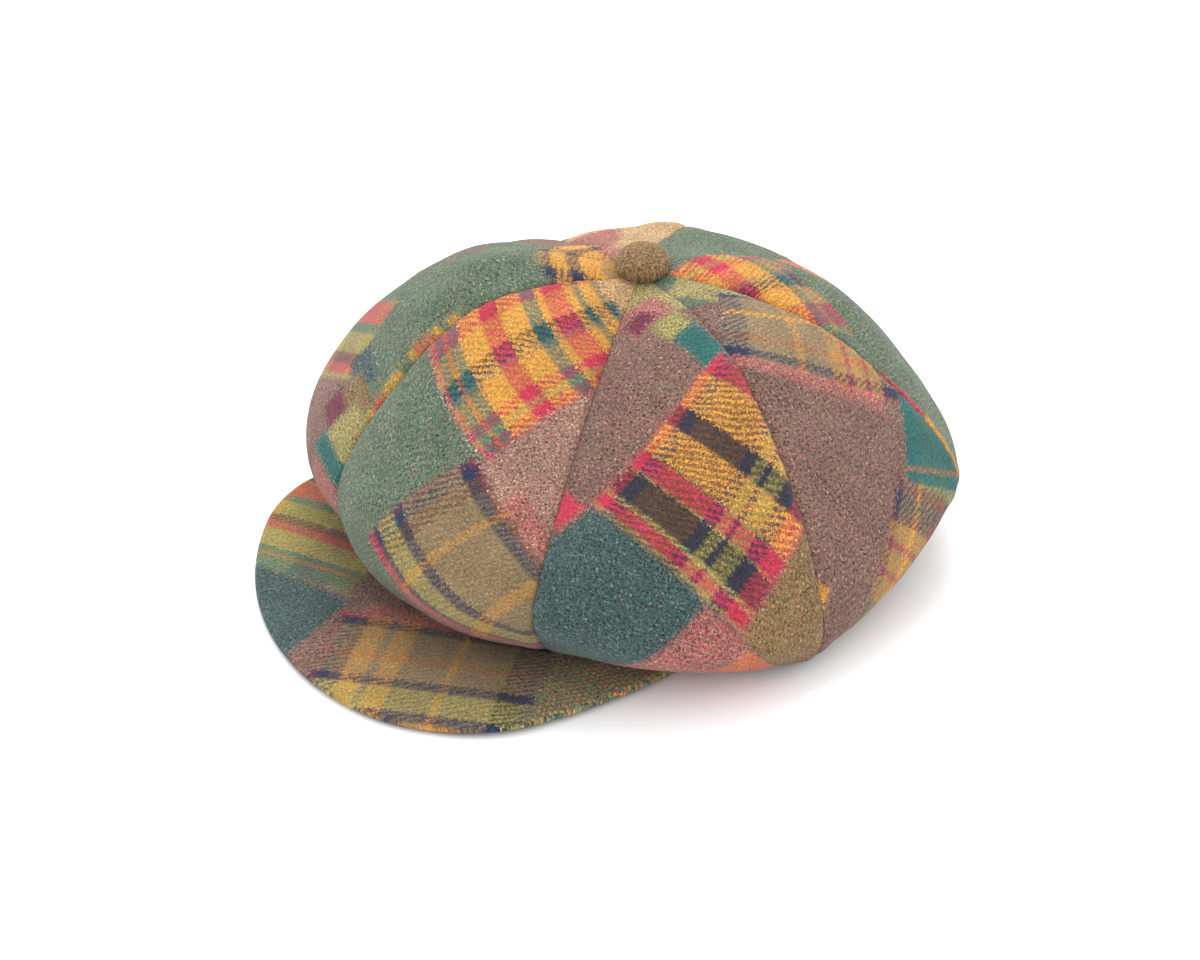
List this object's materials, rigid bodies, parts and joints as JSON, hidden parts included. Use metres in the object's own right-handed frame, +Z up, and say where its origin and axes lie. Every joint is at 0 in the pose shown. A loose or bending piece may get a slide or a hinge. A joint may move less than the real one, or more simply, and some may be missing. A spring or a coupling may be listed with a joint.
{
  "type": "newsboy cap",
  "caption": "Soft wool newsboy cap in patchwork tartan: a full gored crown over a headband, with a cloth-covered peak and a covered top button.",
  "frame": {"origin": "on the table, under the middle of the whole cap's box", "axes": "-Y out over the peak (the front), +X to the wearer's left, +Z up through the crown"},
  "size_m": [0.2839, 0.3233, 0.1291],
  "materials": {
    "crown_wool": "brushed wool twill in a patchwork of tartan blocks: green heather, mauve-brown heather, olive brown, and gold, red and navy check",
    "headband_wool": "brushed wool twill, olive brown",
    "peak_wool": "brushed wool twill over a stiff board, in the crown's tartan",
    "button_wool": "brushed wool, olive brown heather"
  },
  "bodies": {
    "root": {"crown_panel_front": "crown_wool", "crown_panel_front_left": "crown_wool", "crown_panel_left": "crown_wool", "crown_panel_back_left": "crown_wool", "crown_panel_back": "crown_wool", "crown_panel_back_right": "crown_wool", "crown_panel_right": "crown_wool", "crown_panel_front_right": "crown_wool", "headband": "headband_wool", "peak": "peak_wool", "top_button": "button_wool"}
  },
  "joints": []
}
